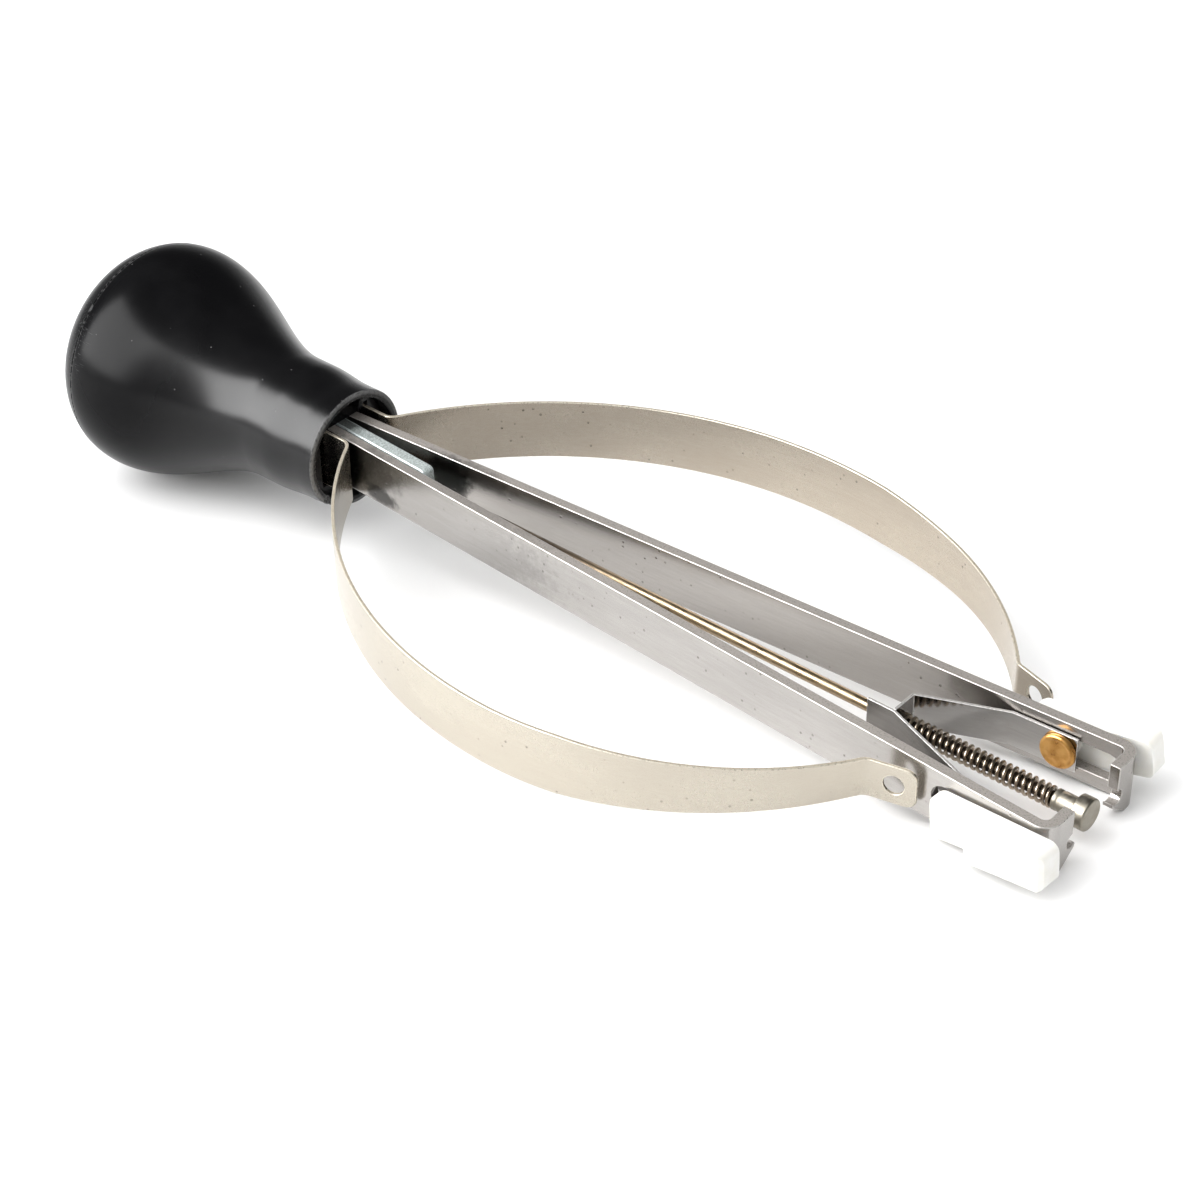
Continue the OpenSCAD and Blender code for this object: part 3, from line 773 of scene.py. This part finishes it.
def coil_spring():
    """Round wire wound over the rod, its end turns closed up against the web and the nut."""
    low, high = (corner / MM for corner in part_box("coil_spring"))
    centre_y = (low.y + high.y) / 2
    mean_r = high.z - WIRE_R
    back = low.x + WIRE_R
    front = high.x - WIRE_R
    open_length = front - back - 2 * CLOSED_TURNS * CLOSED_PITCH
    open_pitch = open_length / (COIL_TURNS - 2 * CLOSED_TURNS)
    bm = bmesh.new()
    rings = []
    x = back
    for i in range(COIL_TURNS * COIL_STEPS + 1):
        turns = i / COIL_STEPS
        from_end = min(turns, COIL_TURNS - turns)
        opened = ease(min(1.0, max(0.0, (from_end - CLOSED_TURNS + 0.3) / 0.6)))
        if i:
            x += (CLOSED_PITCH + (open_pitch - CLOSED_PITCH) * opened) / COIL_STEPS
        angle = 2 * math.pi * turns
        loop = []
        for k in range(WIRE_SIDES):
            b = 2 * math.pi * k / WIRE_SIDES
            r = mean_r + WIRE_R * math.cos(b)
            y = centre_y + r * math.cos(angle)
            point = Vector((x + WIRE_R * math.sin(b), y, r * math.sin(angle)))
            loop.append(bm.verts.new(point * MM))
        rings.append(loop)
    for a, b in zip(rings, rings[1:]):
        bridge(bm, a, b)
    bm.faces.new(rings[0])
    bm.faces.new(rings[-1])
    light = (0.50, 0.42, 0.33, 1)
    dark = (0.27, 0.22, 0.17, 1)
    oily = drawn_metal("coil_wire", light, dark, 0.3, (3, 0.8, 0.8))
    piece = finish_mesh("coil", bm, [oily])
    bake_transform(piece)
    register(piece, None, "coil_steel", "coil_spring")


def end_nut():
    """Sleeve crimped on the rod, with a flat round head that stops the train."""
    low, high = (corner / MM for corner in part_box("end_nut"))
    head_r = high.z
    barrel_end = high.x - NUT_HEAD_LEN
    profile = [(NUT_BORE_END, 0.0), (NUT_BORE_END, NUT_BORE_R), (low.x, NUT_BORE_R)]
    profile += arc(low.x + 0.2, NUT_BARREL_R - 0.2, 0.2, 180, 90, 4)
    profile += arc(low.x + 1.0, NUT_BARREL_R + 0.42, NUT_CRIMP_R, 237, 303, 6)
    profile += [(barrel_end - 0.3, NUT_BARREL_R)]
    profile += arc(barrel_end - 0.15, NUT_BARREL_R + 0.15, 0.15, 270, 360, 3)
    profile += arc(barrel_end + 0.25, head_r - 0.25, 0.25, 180, 90, 4)
    profile += arc(high.x - 0.35, head_r - 0.35, 0.35, 90, 0, 6)
    profile += [(high.x, head_r - 0.6), (high.x, 1.0), (high.x, 0.0)]
    bm = bmesh.new()
    lathe(bm, profile, ((low.y + high.y) / 2, 0), steps=96)
    light = (0.34, 0.315, 0.265, 1)
    dark = (0.26, 0.235, 0.19, 1)
    nickel = drawn_metal("nut_nickel", light, dark, 0.44, (2.5, 0.5, 0.5))
    piece = finish_mesh("crimped_end_nut", bm, [nickel])
    register(piece, "grip", "nut_nickel", "end_nut")


# ---------------------------------------------------------------- stage


def floor():
    """A pale table top under the ball and the bar tips."""
    ball_low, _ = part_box("handle_shell")
    mesh = bpy.data.meshes.new("table_top")
    half = TABLE_HALF
    corners = [(-half, -half, 0), (half, -half, 0), (half, half, 0), (-half, half, 0)]
    mesh.from_pydata(corners, [], [(0, 1, 2, 3)])
    g = Graph("table_white")
    tone = g.mix(g.noise(g.place(), 0.004, 3), grey(0.86), grey(0.88))
    mesh.materials.append(g.set(Base_Color=tone, Roughness=0.75))
    top = bpy.data.objects.new("table_top", mesh)
    bpy.context.scene.collection.objects.link(top)
    rise = math.tan(FLOOR_TILT)
    under_ball = ball_low.z / math.cos(FLOOR_TILT)
    at_origin = under_ball + BALL_X * MM * rise
    top.matrix_world = Matrix.Translation((0, 0, at_origin)) @ Matrix.Rotation(-FLOOR_TILT, 4, "Y")


def softbox(name, place_and_power, diffuse=True, glossy=True):
    """An area light that faces the middle of the tool; it may light diffuse or glossy rays only."""
    towards, distance, width, height, power = place_and_power
    middle = Vector((50, 0, 0)) * MM
    data = bpy.data.lights.new(name, "AREA")
    data.shape = "RECTANGLE"
    data.size = width
    data.size_y = height
    data.energy = power
    light = bpy.data.objects.new(name, data)
    direction = Vector(towards).normalized()
    light.location = middle + direction * distance
    light.rotation_euler = direction.to_track_quat("Z", "Y").to_euler()
    light.visible_diffuse = diffuse
    light.visible_glossy = glossy
    bpy.context.scene.collection.objects.link(light)


def surroundings():
    """White to the camera, even as fill light, and a room that darkens upwards in reflections."""
    world = bpy.data.worlds.new("studio")
    bpy.context.scene.world = world
    world.use_nodes = True
    tree = world.node_tree
    nodes = tree.nodes
    coords = nodes.new("ShaderNodeTexCoord")
    split = nodes.new("ShaderNodeSeparateXYZ")
    room = nodes.new("ShaderNodeMapRange")
    for index, value in {1: 0.0, 2: ROOM_ABOVE_Z, 3: ROOM_HORIZON, 4: ROOM_ABOVE}.items():
        room.inputs[index].default_value = value
    path = nodes.new("ShaderNodeLightPath")
    reflected = nodes.new("ShaderNodeMix")
    seen = nodes.new("ShaderNodeMix")
    tree.links.new(coords.outputs["Generated"], split.inputs[0])
    tree.links.new(split.outputs["Z"], room.inputs["Value"])
    tree.links.new(path.outputs["Is Glossy Ray"], reflected.inputs[0])
    reflected.inputs[2].default_value = FILL_LIGHT
    tree.links.new(room.outputs[0], reflected.inputs[3])
    tree.links.new(path.outputs["Is Camera Ray"], seen.inputs[0])
    tree.links.new(reflected.outputs[0], seen.inputs[2])
    seen.inputs[3].default_value = 1.0
    tree.links.new(seen.outputs[0], nodes["Background"].inputs["Strength"])
    nodes["Background"].inputs["Color"].default_value = (1, 1, 1, 1)


def camera():
    azimuth = math.radians(VIEW_AZIMUTH)
    elevation = math.radians(VIEW_ELEVATION)
    right = Vector((math.cos(azimuth), math.sin(azimuth), 0))
    back = Vector((0, 0, 1)).cross(right) * -math.cos(elevation)
    back.z = math.sin(elevation)
    axes = Matrix((right, back.cross(right), back)).transposed().to_4x4()
    data = bpy.data.cameras.new("camera")
    data.lens = VIEW_LENS
    data.clip_start = 0.01
    view = bpy.data.objects.new("camera", data)
    position = Vector(VIEW_TARGET) * MM + back * VIEW_DISTANCE * MM
    roll = Matrix.Rotation(math.radians(VIEW_ROLL), 4, "Z")
    view.matrix_world = Matrix.Translation(position) @ axes @ roll
    bpy.context.scene.collection.objects.link(view)
    bpy.context.scene.camera = view


def studio():
    floor()
    surroundings()
    softbox("key_softbox", KEY_SOFTBOX, glossy=False)
    softbox("highlight_card", HIGHLIGHT_CARD, diffuse=False)
    softbox("overhead", OVERHEAD, glossy=False)
    bpy.context.scene.view_settings.view_transform = "Standard"


handle_shell()
end_cap()
socket_parts()
frame_bars()
tang()
bows()
rivets()
leaves()
sliders()
guide_rod()
coil_spring()
end_nut()
studio()
camera()
